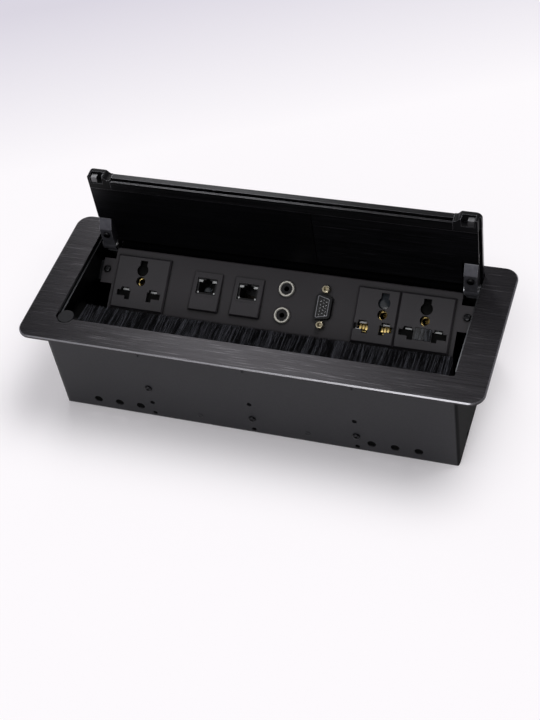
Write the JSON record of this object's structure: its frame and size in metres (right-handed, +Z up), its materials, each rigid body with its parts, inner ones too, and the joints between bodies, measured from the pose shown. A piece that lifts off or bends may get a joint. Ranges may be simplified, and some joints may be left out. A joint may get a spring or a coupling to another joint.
{
  "type": "desk socket box",
  "caption": "Flip-lid desk socket box: a tray hung from a brushed trim plate, with a sloping panel of mains, network, audio and video sockets, a brush strip for the leads and a hinged lid.",
  "frame": {"origin": "centre of the tray's base, which stands on the surface", "axes": "+X along the length, to the right of someone facing the sockets; -Y towards that person; +Z up"},
  "size_m": [0.32, 0.12, 0.1297],
  "materials": {
    "trim_anodised": "black anodised, brushed along its length",
    "lid_anodised": "black anodised, brushed along its length",
    "liner_anodised": "black anodised sheet, fine brushing",
    "tray_paint": "fine black powder coat",
    "panel_paint": "matt black paint",
    "bracket_steel": "blackened, bright on its upper edge",
    "cast_zinc": "glossy black lacquer on cast zinc",
    "arm_zinc": "grey lacquer on cast zinc",
    "socket_plastic": "black, fine grained",
    "base_plastic": "black, moulded",
    "shutter_plastic": "milky, moulded",
    "jack_plastic": "black, moulded",
    "brass": "bare, stamped",
    "gold_contact": "gold plated",
    "nickel": "bright nickel plate",
    "zinc_steel": "zinc plated",
    "dark_screw": "blackened",
    "bristle": "nylon bristles",
    "rubber": "matt",
    "lamp_plastic": "milky light pipes"
  },
  "bodies": {
    "housing": {"tray": "tray_paint", "trim_plate": "trim_anodised", "bracket_right": "bracket_steel", "bracket_left": "bracket_steel", "socket_panel": "panel_paint", "panel_screws": "dark_screw", "video_housing": "jack_plastic", "video_shell": "zinc_steel", "video_insert": "jack_plastic", "video_pillars": "nickel", "brush_channel": "tray_paint", "brush_crimp": "zinc_steel", "brush_bristles": "bristle", "corner_plug": "trim_anodised", "cord_clips": "tray_paint", "clip_screws": "dark_screw", "cable_bushings": "rubber", "hinge_pins": "nickel", "pin_clips": "zinc_steel", "socket_cover_left": "socket_plastic", "socket_base_left": "base_plastic", "socket_contacts_left": "brass", "socket_cover_middle": "socket_plastic", "socket_base_middle": "base_plastic", "socket_contacts_middle": "brass", "socket_cover_right": "socket_plastic", "socket_base_right": "base_plastic", "socket_contacts_right": "brass", "network_bezel_left": "socket_plastic", "network_jack_left": "jack_plastic", "network_pins_left": "gold_contact", "network_lamps_left": "lamp_plastic", "network_bezel_right": "socket_plastic", "network_jack_right": "jack_plastic", "network_pins_right": "gold_contact", "network_lamps_right": "lamp_plastic", "audio_ring_upper": "nickel", "audio_jack_upper": "jack_plastic", "audio_ring_lower": "nickel", "audio_jack_lower": "jack_plastic"},
    "lid": {"lid_panel": "lid_anodised", "lid_liner_left": "liner_anodised", "lid_liner_right": "liner_anodised", "lid_cap_left": "cast_zinc", "lid_cap_right": "cast_zinc", "lid_magnets": "nickel", "hinge_arm_left": "arm_zinc", "hinge_arm_right": "arm_zinc", "arm_screws": "zinc_steel"},
    "shutter_left": {"socket_shutter_left": "shutter_plastic"},
    "shutter_right": {"socket_shutter_right": "shutter_plastic"}
  },
  "joints": [
    {"name": "lid_hinge", "type": "hinge", "parent": "housing", "child": "lid", "pos_m": [0, 0.0435, 0.067], "axis": [1, 0, 0], "range_deg": [0, 90]},
    {"name": "left_shutter_slide", "type": "slide", "parent": "housing", "child": "shutter_left", "axis": [0, 0.8387, 0.5446], "range_m": [0, 0.007], "stiffness_N_per_m": 60, "springref_m": -0.004},
    {"name": "right_shutter_slide", "type": "slide", "parent": "housing", "child": "shutter_right", "axis": [0, 0.8387, 0.5446], "range_m": [0, 0.007], "stiffness_N_per_m": 60, "springref_m": -0.004}
  ]
}
